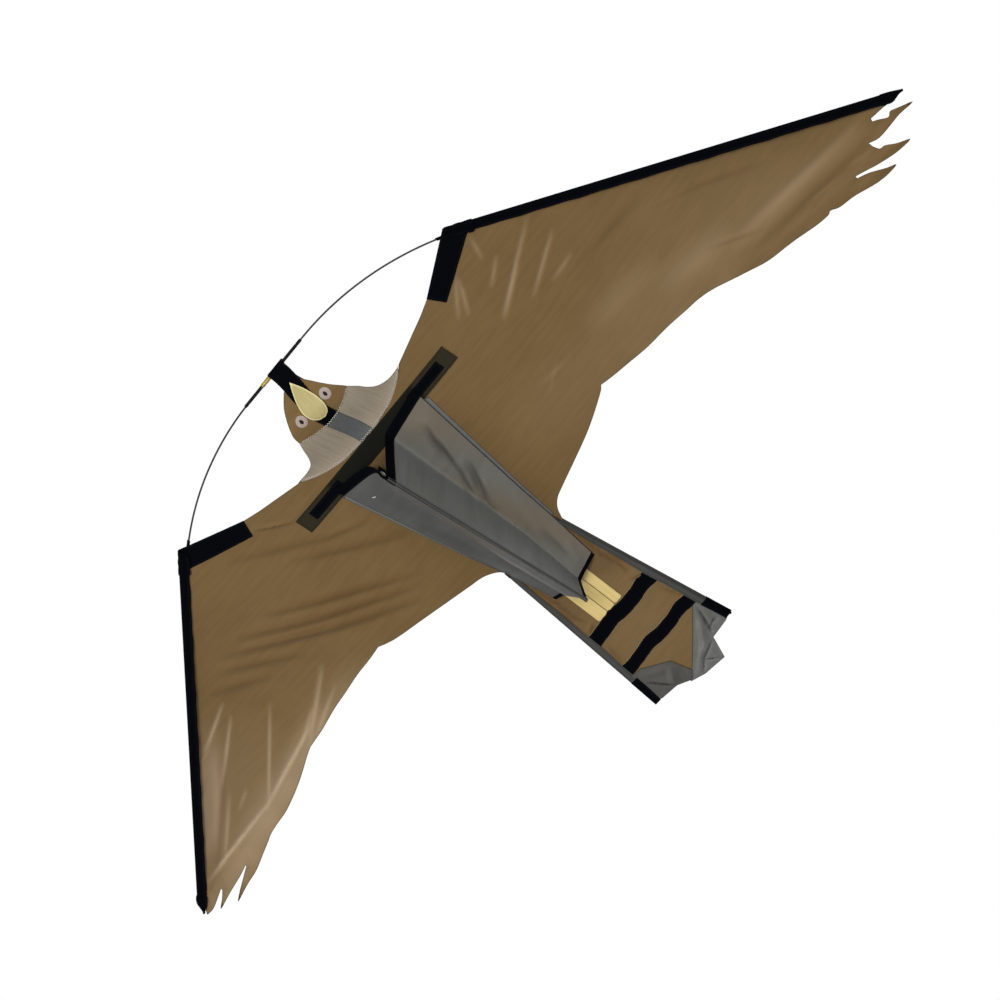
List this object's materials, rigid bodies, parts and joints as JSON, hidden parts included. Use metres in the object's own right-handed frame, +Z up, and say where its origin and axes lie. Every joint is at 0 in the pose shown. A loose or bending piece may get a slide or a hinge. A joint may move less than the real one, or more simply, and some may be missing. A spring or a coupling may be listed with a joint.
{
  "type": "bird scarer kite",
  "caption": "Hawk-shaped bird scarer kite in flight: cloth wings on springy spars, a bow at the nose, a drooping head, a hollow keel with a tow eyelet and a banded tail.",
  "frame": {"origin": "centre of the tow eyelet at the front of the keel", "axes": "+X to the bird's left wing, -Y to its nose, +Z up, away from the belly"},
  "size_m": [1.3512, 0.6346, 0.1709],
  "materials": {
    "brown_sailcloth": "woven polyester, slight sheen",
    "black_tape": "woven tape, matt",
    "rod": "pultruded fibre rod, satin black",
    "stop_tube": "soft tube, matt black",
    "ferrule_brass": "drawn tube, dull",
    "cream_cloth": "woven polyester",
    "eye_ring_cloth": "flat patch, pale mauve grey",
    "black_print": "flat patch, matt",
    "taupe_cloth": "woven polyester",
    "grey_weave": "coarse woven tape",
    "olive_strap": "woven strap",
    "grey_cloth": "coated light cloth",
    "grey_sleeve": "folded tape",
    "eyelet_metal": "pressed, dull"
  },
  "bodies": {
    "body": {"body_sail": "brown_sailcloth", "left_wrist_patch": "black_tape", "right_wrist_patch": "black_tape", "left_wrist_pocket": "black_tape", "right_wrist_pocket": "black_tape", "left_bow": "rod", "right_bow": "rod", "bow_ferrule": "ferrule_brass", "left_bow_stop": "stop_tube", "right_bow_stop": "stop_tube", "nose_strap": "black_tape", "face_band": "black_tape", "beak": "cream_cloth", "hood": "brown_sailcloth", "eye_rings": "eye_ring_cloth", "pupils": "black_print", "neck_panel": "taupe_cloth", "throat_band": "grey_weave", "chest_strap": "olive_strap", "left_keel_panel": "grey_cloth", "right_keel_panel": "grey_cloth", "left_mouth_binding": "black_tape", "right_mouth_binding": "black_tape", "left_rear_binding": "black_tape", "right_rear_binding": "black_tape", "left_keel_hem": "grey_cloth", "right_keel_hem": "grey_cloth", "ridge_tape": "grey_cloth", "tow_tab": "black_tape", "tow_eyelet": "eyelet_metal", "undertail_panel": "cream_cloth", "tail_band_front": "black_tape", "tail_band_rear": "black_tape", "left_tail_sleeve": "grey_sleeve", "right_tail_sleeve": "grey_sleeve", "left_spine_rod": "rod", "right_spine_rod": "rod", "left_tail_pocket": "black_tape", "right_tail_pocket": "black_tape", "left_tail_flap": "grey_cloth", "right_tail_flap": "grey_cloth"},
    "left_wing": {"left_wing_sail": "brown_sailcloth", "left_wing_sleeve": "black_tape", "left_wing_spar": "rod", "left_wing_cuff": "black_tape", "left_tip_cap": "black_tape"},
    "right_wing": {"right_wing_sail": "brown_sailcloth", "right_wing_sleeve": "black_tape", "right_wing_spar": "rod", "right_wing_cuff": "black_tape", "right_tip_cap": "black_tape"}
  },
  "joints": [
    {"name": "left_wing_flap", "type": "hinge", "parent": "body", "child": "left_wing", "pos_m": [0.256, -0.107, 0.0814], "axis": [0.1687, -0.9852, 0.0307], "range_deg": [-20, 25], "stiffness_Nm_per_rad": 4},
    {"name": "right_wing_flap", "type": "hinge", "parent": "body", "child": "right_wing", "pos_m": [-0.256, -0.107, 0.0814], "axis": [0.1687, 0.9852, -0.0307], "range_deg": [-20, 25], "stiffness_Nm_per_rad": 4}
  ]
}
